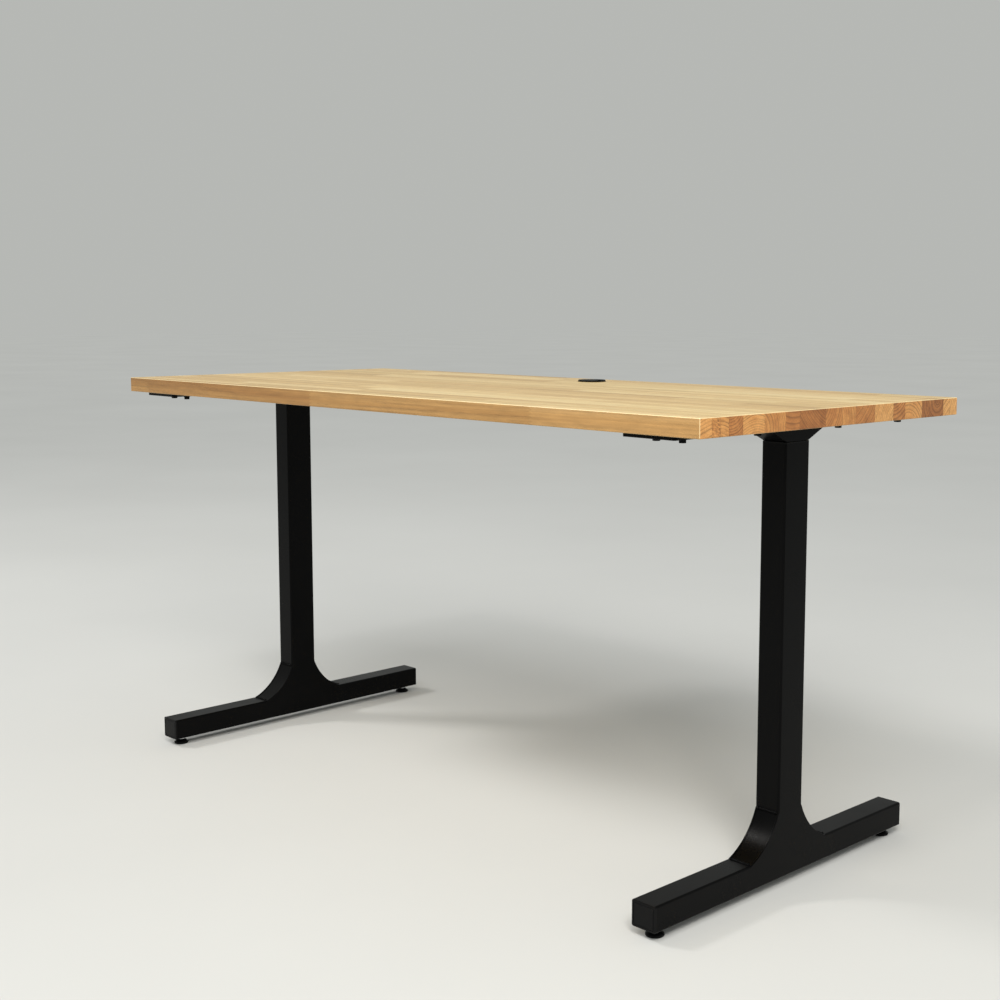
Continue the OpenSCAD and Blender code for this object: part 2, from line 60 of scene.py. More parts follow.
class Shape:
    """Points and faces that a piece is built from, in metres in the row frame."""

    def __init__(self):
        self.points = []
        self.faces = []

    def add(self, points, faces, place=None):
        first = len(self.points)
        if place:
            points = [place @ Vector(p) for p in points]
        self.points += [tuple(p) for p in points]
        self.faces += [[first + i for i in face] for face in faces]

    def loft(self, rings, closed=False, place=None):
        """Skins rings of equal length. An open row of rings gets a face at each end."""
        count = len(rings[0])
        faces = []
        for r in range(len(rings) - 1 + closed):
            here, there = r * count, (r + 1) % len(rings) * count
            for i in range(count):
                j = (i + 1) % count
                faces.append([here + i, here + j, there + j, there + i])
        if not closed:
            last = (len(rings) - 1) * count
            faces.append(list(reversed(range(count))))
            faces.append([last + i for i in range(count)])
        self.add([p for ring in rings for p in ring], faces, place)

    def lathe(self, profile, sides=48, place=None, flutes=0, depth=0.0, beyond=0.0):
        """Turns a closed profile of (radius, height) about the Z axis. Flutes are cut beyond a radius."""
        rings = []
        for i in range(sides):
            turn = 2 * math.pi * i / sides
            cut = depth if flutes and math.cos(flutes * turn) > 0.3 else 0.0
            section = [(r - cut if r > beyond else r, z) for r, z in profile]
            rings.append([(r * math.cos(turn), r * math.sin(turn), z) for r, z in section])
        self.loft(rings, closed=True, place=place)

    def thread(self, radius, depth, lead, low, high, place, sides=20, rows=6):
        """A rod about the Z axis with a single-start thread. Each turn has this many rows of points."""
        count = round((high - low) / lead * rows)
        rings = []
        for k in range(count + 1):
            z = low + (high - low) * k / count
            ring = []
            for i in range(sides):
                phase = (z / lead - i / sides) % 1
                crest = min(1, max(0, abs(phase - 0.5) * 3 - 0.25))
                r = radius - depth * (1 - crest)
                turn = 2 * math.pi * i / sides
                ring.append((r * math.cos(turn), r * math.sin(turn), z))
            rings.append(ring)
        self.loft(rings, place=place)

    def block(self, low, high, corner, edge, steps=4):
        """A box with round upright corners of radius corner and top and bottom edges rounded by edge."""
        middle = [(a + b) / 2 for a, b in zip(low, high)]
        half_x, half_y = (high[0] - low[0]) / 2, (high[1] - low[1]) / 2
        rings = []
        for top in (False, True):
            for step in range(steps + 1):
                turn = math.pi / 2 * (step / steps)
                if top:
                    inset, z = edge * (1 - math.cos(turn)), high[2] - edge * (1 - math.sin(turn))
                else:
                    inset, z = edge * (1 - math.sin(turn)), low[2] + edge * (1 - math.cos(turn))
                outline = rounded(half_x - inset, half_y - inset, max(corner - inset, 0.02 * MM))
                rings.append([(middle[0] + x, middle[1] + y, z) for x, y in outline])
        self.loft(rings)

    def tube(self, route, radius, sides=14, swell=None):
        """A round rod along a route. swell(i) gives the share of the radius at point i."""
        route = [Vector(p) for p in route]
        ahead = (route[1] - route[0]).normalized()
        across = ahead.orthogonal().normalized()
        rings = []
        for i, point in enumerate(route):
            span = route[min(i + 1, len(route) - 1)] - route[max(i - 1, 0)]
            across = (across - across.project(span)).normalized()
            up = span.normalized().cross(across)
            size = radius * (swell(i) if swell else 1)
            turns = [2 * math.pi * k / sides for k in range(sides)]
            rings.append([point + size * (math.cos(t) * across + math.sin(t) * up) for t in turns])
        self.loft(rings)


def rounded(half_x, half_y, radius, steps=5):
    """The outline of a rectangle with round corners."""
    outline = []
    for quarter, (sx, sy) in enumerate(((1, 1), (-1, 1), (-1, -1), (1, -1))):
        for step in range(steps + 1):
            turn = (quarter + step / steps) * math.pi / 2
            x = sx * (half_x - radius) + radius * math.cos(turn)
            y = sy * (half_y - radius) + radius * math.sin(turn)
            outline.append((x, y))
    return outline


def smooth(route, steps=6):
    """A route's points with a smooth curve drawn through them."""
    points = [Vector(p) for p in route]
    spans = [(b - a).length for a, b in zip(points, points[1:])]
    headings = [(b - a).normalized() for a, b in zip(points, points[1:])]
    turns = [headings[0]]
    for i in range(1, len(headings)):
        turns.append((headings[i - 1] * spans[i] + headings[i] * spans[i - 1]) / (spans[i - 1] + spans[i]))
    turns.append(headings[-1])
    curve = []
    for i, span in enumerate(spans):
        for step in range(steps):
            t = step / steps
            keep = 2 * t**3 - 3 * t**2 + 1
            curve.append(
                points[i] * keep
                + points[i + 1] * (1 - keep)
                + turns[i] * span * (t**3 - 2 * t**2 + t)
                + turns[i + 1] * span * (t**3 - t**2)
            )
    return [*curve, points[-1]]


def closed_mesh(name, shape):
    """A mesh of the shape with its doubled points welded and its faces all turned outwards."""
    mesh = bpy.data.meshes.new(name)
    mesh.from_pydata(shape.points, [], shape.faces)
    tidy = bmesh.new()
    tidy.from_mesh(mesh)
    bmesh.ops.remove_doubles(tidy, verts=tidy.verts, dist=0.002 * MM)
    bmesh.ops.dissolve_degenerate(tidy, edges=tidy.edges, dist=0.001 * MM)
    bmesh.ops.recalc_face_normals(tidy, faces=tidy.faces)
    tidy.to_mesh(mesh)
    tidy.free()
    return mesh


def linked(name, data):
    """A new object in the scene."""
    obj = bpy.data.objects.new(name, data)
    bpy.context.collection.objects.link(obj)
    return obj


def make(name, shape, body, slot, stands_for=(), sharp=32, drills=()):
    """Turns a shape into a piece that rides on a body, has a finish and stands for CAD nodes."""
    piece = linked(name, closed_mesh(name, shape))
    for cutter in drills:
        drill(piece, cutter)
    piece.data.shade_smooth()
    piece.data.set_sharp_from_angle(angle=math.radians(sharp))
    piece.data.materials.append(FINISHES[slot])
    normals = piece.modifiers.new("even shading", "WEIGHTED_NORMAL")
    normals.keep_sharp = True
    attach(piece, body)
    if stands_for:
        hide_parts(*stands_for)
    return piece


def drill(piece, shape):
    """Cuts the shape out of a piece. Parts of the shape don't overlap each other."""
    cutter = linked("drills", closed_mesh("drills", shape))
    cut = piece.modifiers.new("drill", "BOOLEAN")
    cut.operation, cut.object, cut.solver = "DIFFERENCE", cutter, "EXACT"
    view = bpy.context.evaluated_depsgraph_get()
    view.update()
    result = bpy.data.meshes.new_from_object(piece.evaluated_get(view))
    piece.modifiers.remove(cut)
    piece.data = result
    bpy.data.objects.remove(cutter)


# ---------- materials ----------


class Paint:
    """Short calls that put together the nodes of one material."""

    def __init__(self, name, colour, rough, metal=0.0, gloss=0.5):
        self.material = bpy.data.materials.new(name)
        self.material.use_nodes = True
        self.nodes = self.material.node_tree.nodes
        self.links = self.material.node_tree.links
        self.surface = self.nodes["Principled BSDF"]
        self.surface.inputs["Base Color"].default_value = (*colour, 1)
        self.surface.inputs["Roughness"].default_value = rough
        self.surface.inputs["Metallic"].default_value = metal
        self.surface.inputs["Specular IOR Level"].default_value = gloss
        where = self.nodes.new("ShaderNodeTexCoord")
        self.place = where.outputs["Object"]
        self.facing = where.outputs["Normal"]

    def put(self, socket, value):
        if isinstance(value, bpy.types.NodeSocket):
            self.links.new(value, socket)
        else:
            socket.default_value = value

    def math(self, operation, *values):
        node = self.nodes.new("ShaderNodeMath")
        node.operation = operation
        for socket, value in zip(node.inputs, values):
            self.put(socket, value)
        return node.outputs[0]

    def add(self, a, b):
        return self.math("ADD", a, b)

    def less(self, a, b):
        return self.math("SUBTRACT", a, b)

    def times(self, a, b):
        return self.math("MULTIPLY", a, b)

    def vector(self, x, y, z):
        node = self.nodes.new("ShaderNodeCombineXYZ")
        for socket, value in zip(node.inputs, (x, y, z)):
            self.put(socket, value)
        return node.outputs[0]

    def split(self, vector):
        node = self.nodes.new("ShaderNodeSeparateXYZ")
        self.put(node.inputs[0], vector)
        return node.outputs

    def scaled(self, scale, vector=None):
        node = self.nodes.new("ShaderNodeVectorMath")
        node.operation = "MULTIPLY"
        self.put(node.inputs[0], vector or self.place)
        self.put(node.inputs[1], scale)
        return node.outputs[0]

    def noise(self, scale, detail, vector=None):
        node = self.nodes.new("ShaderNodeTexNoise")
        self.put(node.inputs["Vector"], self.scaled(scale, vector))
        node.inputs["Scale"].default_value = 1.0
        node.inputs["Detail"].default_value = detail
        return node.outputs[0]

    def chance(self, vector):
        """A random value and three more, the same wherever the vector is the same."""
        node = self.nodes.new("ShaderNodeTexWhiteNoise")
        node.noise_dimensions = "3D"
        self.put(node.inputs["Vector"], vector)
        return node.outputs["Value"], self.split(node.outputs["Color"])

    def ramp(self, factor, stops, steps=False):
        node = self.nodes.new("ShaderNodeValToRGB")
        ramp = node.color_ramp
        ramp.interpolation = "CONSTANT" if steps else "LINEAR"
        while len(ramp.elements) < len(stops):
            ramp.elements.new(1.0)
        for element, (position, colour) in zip(ramp.elements, stops):
            element.position = position
            element.color = (*colour, 1) if isinstance(colour, tuple) else (colour,) * 3 + (1,)
        self.put(node.inputs[0], factor)
        return node.outputs[0]

    def range(self, value, low, high, to_low=0.0, to_high=1.0):
        node = self.nodes.new("ShaderNodeMapRange")
        for socket, number in zip(node.inputs, (value, low, high, to_low, to_high)):
            self.put(socket, number)
        return node.outputs[0]

    def mix(self, factor, a, b, blend="MIX"):
        node = self.nodes.new("ShaderNodeMix")
        node.data_type, node.blend_type = "RGBA", blend
        for socket, value in zip((node.inputs[0], node.inputs[6], node.inputs[7]), (factor, a, b)):
            self.put(socket, value)
        return node.outputs[2]

    def shade(self, colour, factor):
        """The colour times a grey factor."""
        return self.scaled(self.vector(factor, factor, factor), colour)

    def colour(self, value):
        self.put(self.surface.inputs["Base Color"], value)

    def rough(self, value):
        self.put(self.surface.inputs["Roughness"], value)

    def bump(self, height, depth):
        """depth is how high the relief stands, in metres."""
        node = self.nodes.new("ShaderNodeBump")
        node.inputs["Strength"].default_value = 1.0
        node.inputs["Distance"].default_value = depth
        self.put(node.inputs["Height"], height)
        self.put(self.surface.inputs["Normal"], node.outputs[0])


def tones(colour, *shares):
    """The colour, darker or lighter by each share."""
    return [(*[min(1, c * share) for c in colour], 1) for share in shares]


STAVES = (25, 17, 18, 31, 48, 48, 33, 64, 40, 35, 50, 53, 32, 48, 63, 20, 25)  # front to back, mm


def oak():
    """Laminated oak: staves of mixed width, finger-jointed along their length, each cut from its
    own place in a log, so that growth rings show as arcs on the ends and as grain along the board."""
    paint = Paint("oak_board", (0.5, 0.31, 0.14), 0.4)
    low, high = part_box("tabletop")
    depth, middle = high[1] - low[1], (low[2] + high[2]) / 2
    x, y, z = paint.split(paint.place)
    across = paint.range(y, low[1], high[1])

    draw = random.Random(5)
    stops, edge, whole = [], 0.0, sum(STAVES)
    for number, width in enumerate(STAVES):
        joint = 0.012 if number == 1 else 0.06 + 0.94 * draw.random()
        stops.append((edge / whole, (draw.random(), (edge + width / 2) / whole, joint)))
        edge += width
    stave, centre, joint = paint.split(paint.ramp(across, stops, steps=True))

    def stave_at(shift):
        return paint.split(paint.ramp(paint.add(across, shift), stops, steps=True))[0]

    line = 0.35 * MM / depth
    seam = paint.math("COMPARE", stave_at(line), stave_at(-line), 0.0005)

    finger, tooth = 8 * MM, 5.6 * MM
    teeth = paint.times(paint.math("PINGPONG", z, tooth / 2), 2 * finger / tooth)
    length = paint.range(stave, 0, 1, 0.36, 0.62)
    start = paint.range(joint, 0, 1, high[0] + 10 * MM, high[0] - 0.5)
    along = paint.math("DIVIDE", paint.less(paint.add(x, teeth), start), length)
    block = paint.math("FLOOR", along)
    glue = paint.math("COMPARE", paint.math("FRACT", paint.add(along, 0.5)), 0.5, 0.0006)
    tone, (turn, reach, tilt) = paint.chance(paint.vector(paint.times(stave, 17), block, 0.5))
    _, (pitch, _, warm) = paint.chance(paint.vector(block, paint.times(stave, 31), 2.7))

    angle = paint.times(turn, 2 * math.pi)
    away = paint.range(paint.times(reach, reach), 0, 1, 0.024, 0.13)
    drift = paint.times(paint.less(tilt, 0.5), paint.times(x, 0.05))
    wander = paint.noise((1.6, 9, 9), 3, paint.vector(paint.add(x, paint.times(stave, 9)), y, z))
    side = paint.less(y, paint.range(centre, 0, 1, low[1], high[1]))
    side = paint.add(paint.less(side, paint.times(away, paint.math("COSINE", angle))), drift)
    rise = paint.less(z, middle)
    rise = paint.less(rise, paint.times(away, paint.math("SINE", angle)))
    radius = paint.math("SQRT", paint.add(paint.times(side, side), paint.times(rise, rise)))
    radius = paint.add(radius, paint.times(wander, 0.012))
    years = paint.math("DIVIDE", radius, paint.range(pitch, 0, 1, 0.0032, 0.0066))
    uneven = paint.noise((1, 1, 1), 1, paint.vector(paint.times(years, 0.45), paint.times(stave, 40), block))
    ring = paint.add(years, paint.times(uneven, 2.4))
    grown = paint.math("FRACT", ring)
    year, _ = paint.chance(paint.vector(paint.math("FLOOR", ring), stave, block))
    late = paint.split(paint.ramp(grown, ((0, 0.0), (0.14, 0.25), (0.42, 0.85), (0.8, 1.0), (1, 0.55))))[0]
    early = paint.times(paint.less(1, late), paint.range(year, 0, 1, 0.45, 1))
    late = paint.less(1, early)

    fibre = paint.noise((5, 420, 420), 2)
    streak = paint.noise((0.9, 55, 55), 3)
    fleck = paint.noise((26, 120, 120), 3)
    pores = paint.range(paint.noise((70, 1500, 1500), 1), 0.58, 0.7)
    pores = paint.times(pores, paint.range(late, 0.1, 0.7, 1, 0.15))
    face_x, face_y, face_z = paint.split(paint.facing)
    end, front = (paint.range(paint.math("ABSOLUTE", face), 0.6, 0.8) for face in (face_x, face_y))
    flat = paint.math("MAXIMUM", paint.math("ABSOLUTE", face_x), paint.math("ABSOLUTE", face_y))
    flat = paint.math("MAXIMUM", flat, paint.math("ABSOLUTE", face_z))
    # painted highlight: the rounded arrises, on their upper side only, stand for light caught on the edge
    arris_highlight = paint.times(paint.range(flat, 0.97, 0.85), paint.range(face_z, -0.2, 0.1))

    light = paint.add(paint.times(tone, 0.55), paint.range(streak, 0.3, 0.7, 0, 0.45))
    light = paint.add(light, paint.times(paint.less(year, 0.5), 0.1))
    wood = paint.ramp(
        light,
        (
            (0.08, (0.42, 0.255, 0.090)),
            (0.38, (0.60, 0.420, 0.175)),
            (0.64, (0.71, 0.530, 0.245)),
            (0.92, (0.80, 0.640, 0.340)),
        ),
    )
    wood = paint.mix(paint.range(warm, 0, 1, 0, 0.3), wood, (0.60, 0.36, 0.13, 1))
    # painted shade: the front and back faces are multiplied darker and browner than the top
    wood = paint.mix(front, wood, (0.63, 0.49, 0.38, 1), "MULTIPLY")
    cut = paint.ramp(
        paint.add(paint.times(tone, 0.8), paint.range(streak, 0.3, 0.7, 0, 0.2)),
        (
            (0.08, (0.28, 0.098, 0.025)),
            (0.38, (0.47, 0.190, 0.052)),
            (0.64, (0.60, 0.275, 0.080)),
            (0.92, (0.74, 0.385, 0.128)),
        ),
    )
    wood = paint.mix(end, wood, cut)
    depth_of_ring = paint.range(end, 0, 1, paint.range(front, 0, 1, 0.78, 0.93), 0.42)
    grain = paint.range(late, 0, 1, depth_of_ring, 1.06)
    grain = paint.times(grain, paint.range(fibre, 0.25, 0.75, 0.86, 1.12))
    grain = paint.times(grain, paint.range(fleck, 0.3, 0.7, 0.91, 1.09))
    grain = paint.times(grain, paint.range(pores, 0, 1, 1.0, 0.7))
    grain = paint.times(grain, paint.range(seam, 0, 1, 0.74, 1.0))
    grain = paint.times(grain, paint.range(glue, 0, 1, 1.0, 0.7))
    wood = paint.shade(wood, grain)
    # painted highlight on the upper arrises: mixed three quarters of the way to a pale yellow
    paint.colour(paint.mix(paint.times(arris_highlight, 0.75), wood, (0.93, 0.78, 0.46, 1)))
    paint.rough(paint.add(paint.range(late, 0, 1, 0.46, 0.38), paint.times(pores, 0.2)))
    relief = paint.add(paint.times(late, 0.4), paint.times(fibre, 0.5))
    relief = paint.add(paint.less(relief, paint.times(pores, 0.6)), paint.times(seam, 0.6))
    paint.bump(relief, 0.07 * MM)
    return paint.material


def powder_coat(name, colour, rough):
    """Powder coat: a fine orange-peel skin with slightly uneven gloss."""
    paint = Paint(name, colour, rough, gloss=0.07)
    peel = paint.noise((620, 620, 620), 2)
    cloud = paint.noise((9, 9, 9), 4)
    paint.colour(paint.mix(paint.range(cloud, 0.3, 0.7), *tones(colour, 0.8, 1.25)))
    paint.rough(paint.add(paint.range(cloud, 0.3, 0.7, rough - 0.05, rough + 0.06), paint.times(peel, 0.06)))
    paint.bump(peel, 0.03 * MM)
    return paint.material


def moulded(name, colour, rough, grain=900):
    """Moulded plastic with a fine spark-eroded texture."""
    paint = Paint(name, colour, rough, gloss=0.12)
    spark = paint.noise((grain, grain, grain), 3)
    cloud = paint.noise((30, 30, 30), 2)
    paint.colour(paint.mix(cloud, *tones(colour, 0.85, 1.15)))
    paint.rough(paint.range(spark, 0.3, 0.7, rough - 0.07, rough + 0.07))
    paint.bump(spark, 0.025 * MM)
    return paint.material


def metal(name, colour, rough):
    """Bare or plated metal with fine tool marks that run level."""
    paint = Paint(name, colour, rough, metal=1.0)
    marks = paint.noise((40, 40, 900), 3)
    cloud = paint.noise((35, 35, 35), 3)
    paint.colour(paint.mix(cloud, *tones(colour, 0.78, 1.1)))
    paint.rough(paint.add(paint.range(marks, 0.3, 0.7, rough - 0.06, rough + 0.08), paint.times(cloud, 0.08)))
    paint.bump(marks, 0.01 * MM)
    return paint.material


FINISHES = {"oak_board": oak()}
for kind, name, *look in (
    (powder_coat, "black_steel", (0.0012, 0.0012, 0.0013), 0.27),
    (powder_coat, "inner_steel", (0.016, 0.0165, 0.018), 0.3),
    (powder_coat, "black_bolts", (0.002, 0.002, 0.0022), 0.3),
    (moulded, "black_plastic", (0.0025, 0.0025, 0.0028), 0.42),
    (moulded, "ivory_nylon", (0.66, 0.60, 0.46), 0.45),
    (moulded, "white_nylon", (0.74, 0.74, 0.71), 0.45),
    (moulded, "circuit_board", (0.012, 0.10, 0.035), 0.35),
    (moulded, "cable_jacket", (0.016, 0.016, 0.017), 0.42, 1400),
    (moulded, "key_plastic", (0.10, 0.10, 0.105), 0.45),
    (metal, "zinc_steel", (0.62, 0.63, 0.65), 0.3),
    (metal, "spindle_steel", (0.55, 0.56, 0.58), 0.28),
    (metal, "motor_case", (0.33, 0.34, 0.35), 0.38),
    (metal, "brass_insert", (0.75, 0.55, 0.24), 0.3),
):
    FINISHES[name] = kind(name, *look)


# ---------- worktop ----------

BOLT_X, BOLT_Y = 24 * MM, (102 * MM, 270 * MM)  # from the middle of each plate
BOLT_END = 0.734  # height of the bolts' upper ends, inside the board
CABLE_HOLE = 24.05 * MM  # radius of the grommet's hole
INSERT_HOLE, INSERT_DEPTH = 4.55 * MM, 15 * MM  # radius and depth of the holes for the inserts


def leg_centre(side):
    low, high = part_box(f"{side}_outer_column")
    return (low[0] + high[0]) / 2


def bolt_places():
    for side in SIDES:
        for x in (-BOLT_X, BOLT_X):
            for reach in BOLT_Y:
                for y in (-reach, reach):
                    yield leg_centre(side) + x, y


def worktop():
    """One board with softened arrises, the cable hole and the insert holes."""
    low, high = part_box("tabletop")
    board = Shape()
    board.block(low, high, 1.6 * MM, 1.4 * MM)
    drills = Shape()
    sleeve_low, sleeve_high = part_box("grommet_sleeve")
    hole_y = (sleeve_low[1] + sleeve_high[1]) / 2
    holes = [(0, hole_y, CABLE_HOLE, high[2] + MM, 72)]
    holes += [(x, y, INSERT_HOLE, low[2] + INSERT_DEPTH, 24) for x, y in bolt_places()]
    for x, y, radius, top, sides in holes:
        place = Matrix.Translation((x, y, 0))
        drills.lathe(((0, low[2] - MM), (radius, low[2] - MM), (radius, top), (0, top)), sides, place)
    make("worktop", board, "upper", "oak_board", ["tabletop"], drills=[drills])


# ---------- legs ----------

CORNER = 3 * MM  # outer corner of the steel tubes
CHEEK = 3 * MM  # thickness of a gusset's side cheeks
RECESS = 1 * MM  # the gusset's web lies this far below the cheeks' edges
ARC = 115 * MM  # radius of the gusset's curve


def arc_points(top, toe, radius, steps=18):
    """The gusset's hollow curve from top, on the column, to toe, on the foot: points and inward normals."""
    top, toe = Vector(top), Vector(toe)
    chord = toe - top
    out = Vector((-abs(chord.x), abs(chord.x))).normalized()
    centre = (top + toe) / 2 + out * math.sqrt(radius**2 - chord.length_squared / 4)
    first = math.atan2(top.y - centre.y, top.x - centre.x)
    last = math.atan2(toe.y - centre.y, toe.x - centre.x)
    for step in range(steps + 1):
        turn = first + (last - first) * step / steps
        ray = Vector((math.cos(turn), math.sin(turn)))
        yield centre + radius * ray, ray


def strip(half, on_gusset):
    """The outline across the frame, from one side to the other: place across, and depth below the surface."""
    edge = 0.8 * MM if on_gusset else CORNER
    corner = 4
    points = []
    for step in range(corner + 1):
        turn = math.pi / 2 * step / corner
        points.append((edge * (1 - math.cos(turn)), edge * (1 - math.sin(turn))))
    if on_gusset:
        points += [(CHEEK - 0.3 * MM, 0), (CHEEK, 0.3 * MM), (CHEEK, RECESS), (CHEEK + 0.8 * MM, RECESS)]
    else:
        points += [(CORNER + step * 0.4 * MM, 0) for step in (1, 2, 3, 4)]
    return [(x - half, d) for x, d in points] + [(half - x, d) for x, d in reversed(points)]


def leg_frame(side):
    """Foot, column and gussets as the one welded and coated frame that they are."""
    centre = leg_centre(side)
    foot_low, foot_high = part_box(f"{side}_foot_beam")
    column_low, column_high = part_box(f"{side}_outer_column")
    _, gusset_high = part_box(f"{side}_gussets")
    half, face, rim = (column_high[0] - column_low[0]) / 2, column_high[1], column_high[2]
    reach, rise = gusset_high[1], gusset_high[2]
    blend = 1.5 * MM
    front = [((-face, rim), (1, 0), False), ((-face, rise + blend), (1, 0), False)]
    front += [(point, ray, True) for point, ray in arc_points((-face, rise), (-reach, foot_high[2]), ARC)]
    front += [((-reach - blend, foot_high[2]), (0, -1), False), ((foot_low[1], foot_high[2]), (0, -1), False)]
    front += [((foot_low[1], foot_low[2]), (0, 1), False)]
    rear = [((-p[0], p[1]), (-n[0], n[1]), gusset) for p, n, gusset in reversed(front)]

    frame_shape = Shape()
    points, count = [], 0
    stations = front + rear
    for point, inward, gusset in stations:
        across = strip(half, gusset)
        count = len(across)
        points += [(centre + x, point[0] + d * inward[0], point[1] + d * inward[1]) for x, d in across]
    faces = []
    foot_end = len(front) - 1
    for s in range(len(stations) - 1):
        here, there = s * count, (s + 1) * count
        if s in (foot_end - 1, foot_end + 1):
            faces.append([here + i for i in range(count)] + [there + i for i in reversed(range(count))])
            continue
        faces += [[here + i, here + i + 1, there + i + 1, there + i] for i in range(count - 1)]
    for edge in (0, count - 1):
        faces.append([s * count + edge for s in range(len(stations))])
    # the open mouth of the column, down to 5 mm above its lower end
    outer = list(range(count)) + [(len(stations) - 1) * count + i for i in reversed(range(count))]
    wall = 2 * MM
    first = len(points)
    for depth in (rim, column_low[2] + 5 * MM):
        for i in outer:
            x, y, _ = points[i]
            points.append((centre + (x - centre) * (half - wall) / half, y * (face - wall) / face, depth))
    ring = len(outer)
    for i in range(ring):
        j = (i + 1) % ring
        faces.append([outer[i], outer[j], first + j, first + i])
        faces.append([first + i, first + j, first + ring + j, first + ring + i])
    faces.append([first + ring + i for i in range(ring)])
    frame_shape.add(points, faces)

    bead = 2.3 * MM
    for end in (-1, 1):
        for y, z in ((face, rise + 0.6 * MM), (reach + 0.6 * MM, foot_high[2])):
            weld(frame_shape, (centre - half + CHEEK, end * y, z), (centre + half - CHEEK, end * y, z), bead)
    welded = [f"{side}_foot_beam", f"{side}_outer_column", f"{side}_gussets"]
    make(f"{side}_leg_frame", frame_shape, f"{side}_base", "black_steel", welded)


def weld(shape, start, end, radius):
    """A bead of weld between two points, with its row of ripples and a thicker start and stop."""
    start, end = Vector(start), Vector(end)
    pitch = 0.6 * MM
    count = max(8, round((end - start).length / pitch))
    route = [start.lerp(end, i / count) for i in range(count + 1)]

    def swell(i):
        near_end = min(i, count - i) * pitch
        cap = math.sqrt(min(1, (near_end + 0.1 * MM) / radius))
        return cap * (1 + 0.1 * math.sin(i * math.pi / 2)) * (1.25 if near_end < 3 * MM else 1)

    shape.tube(route, radius, 12, swell)


def end_caps(side):
    """Push-in caps with a groove inside their edge."""
    low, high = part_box(f"{side}_foot_caps")
    beam_low, beam_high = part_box(f"{side}_foot_beam")
    half_x, half_z = (high[0] - low[0]) / 2, (high[2] - low[2]) / 2
    centre, middle = (high[0] + low[0]) / 2, (high[2] + low[2]) / 2
    shape = Shape()
    plate = high[1] - beam_high[1]
    profile = ((0.25, 0), (0, 0.25), (0, plate / MM - 0.9), (0.25, plate / MM - 0.25), (0.9, plate / MM))
    profile += ((3.0, plate / MM), (3.4, plate / MM - 0.7), (4.2, plate / MM - 0.7), (4.6, plate / MM))
    for end, face in ((-1, beam_low[1]), (1, beam_high[1])):
        rings = []
        for inset, out in profile:
            radius = max(CORNER - inset * MM, 0.6 * MM)
            outline = rounded(half_x - inset * MM, half_z - inset * MM, radius)
            rings.append([(centre + x, face + end * out * MM, middle + z) for x, z in outline])
        shape.loft(rings)
    make(f"{side}_end_caps", shape, f"{side}_base", "black_plastic", [f"{side}_foot_caps"])


def collar(side):
    """The glide collar's rim, on the mouth of the column."""
    low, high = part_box(f"{side}_guide_collar")
    column_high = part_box(f"{side}_outer_column")[1]
    inner_low, inner_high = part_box(f"{side}_inner_column")
    centre, half_x, half_y = leg_centre(side), (high[0] - low[0]) / 2, high[1]
    bore_x, bore_y = (inner_high[0] - inner_low[0]) / 2 + 0.2 * MM, inner_high[1] + 0.2 * MM
    wall = 2.1 * MM
    rim, top, edge = column_high[2], high[2], 0.5 * MM
    section = (
        (half_x - wall, half_y - wall, low[2]),
        (half_x - wall, half_y - wall, rim),
        (half_x, half_y, rim),
        (half_x, half_y, top - edge),
        (half_x - edge, half_y - edge, top),
        (bore_x + edge, bore_y + edge, top),
        (bore_x, bore_y, top - edge),
        (bore_x, bore_y, low[2]),
    )
    rings = []
    for x, y, z in section:
        radius = max(0.6 * MM, CORNER - (half_x - x))
        rings.append([(centre + px, py, z) for px, py in rounded(x, y, radius)])
    shape = Shape()
    shape.loft(rings, closed=True)
    make(f"{side}_collar", shape, f"{side}_base", "black_plastic", [f"{side}_guide_collar"])


def flared_head(side):
    """The flared bracket under the mounting plate, with its welds along the plate."""
    low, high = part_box(f"{side}_head_bracket")
    column_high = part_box(f"{side}_outer_column")[1]
    centre, half, foot = leg_centre(side), (high[0] - low[0]) / 2, column_high[1]
    soft = 0.6 * MM
    rings = []
    for share, inset, z in ((0, soft, low[2]), (0, 0, low[2] + soft), (1, 0, high[2])):
        reach = foot + (high[1] - foot) * share
        outline = rounded(half - inset, reach - inset, CORNER - inset - share * 1.2 * MM)
        rings.append([(centre + x, y, z) for x, y in outline])
    shape = Shape()
    shape.loft(rings)
    bead = 1.5 * MM
    z = high[2] - 0.3 * MM
    for edge in (-1, 1):
        x = centre + edge * half
        weld(shape, (x, -high[1] + 6 * MM, z), (x, high[1] - 6 * MM, z), bead)
        y = edge * high[1]
        weld(shape, (centre - half + CHEEK, y, z), (centre + half - CHEEK, y, z), bead)
    make(f"{side}_flared_head", shape, "upper", "black_steel", [f"{side}_head_bracket"])


def mounting_plate(side):
    low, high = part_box(f"{side}_top_plate")
    shape = Shape()
    shape.block(low, high, 4 * MM, 0.7 * MM)
    make(f"{side}_mounting_plate", shape, "upper", "black_steel", [f"{side}_top_plate"])


# ---------- fasteners ----------


def hex_head(shape, flats, low, high, place):
    """A hexagonal head or nut between two heights, with its corners turned down to a cone."""
    sides = 48
    slope = math.tan(math.radians(30))

    def corner_radius(i):
        turn = 2 * math.pi * i / sides
        sector = (turn + math.pi / 6) % (math.pi / 3) - math.pi / 6
        return flats / 2 / math.cos(sector)

    def circle(radius, z):
        turns = [2 * math.pi * i / sides for i in range(sides)]
        return [(radius * math.cos(t), radius * math.sin(t), z) for t in turns]

    def edge(z, sign):
        rim = []
        for i in range(sides):
            r = corner_radius(i)
            drop = max(0, r - flats / 2 * 0.99) * slope
            turn = 2 * math.pi * i / sides
            rim.append((r * math.cos(turn), r * math.sin(turn), z - sign * drop))
        return rim

    flat = flats / 2 * 0.97
    shape.loft([circle(flat, low), edge(low, -1), edge(high, 1), circle(flat, high)], place=place)


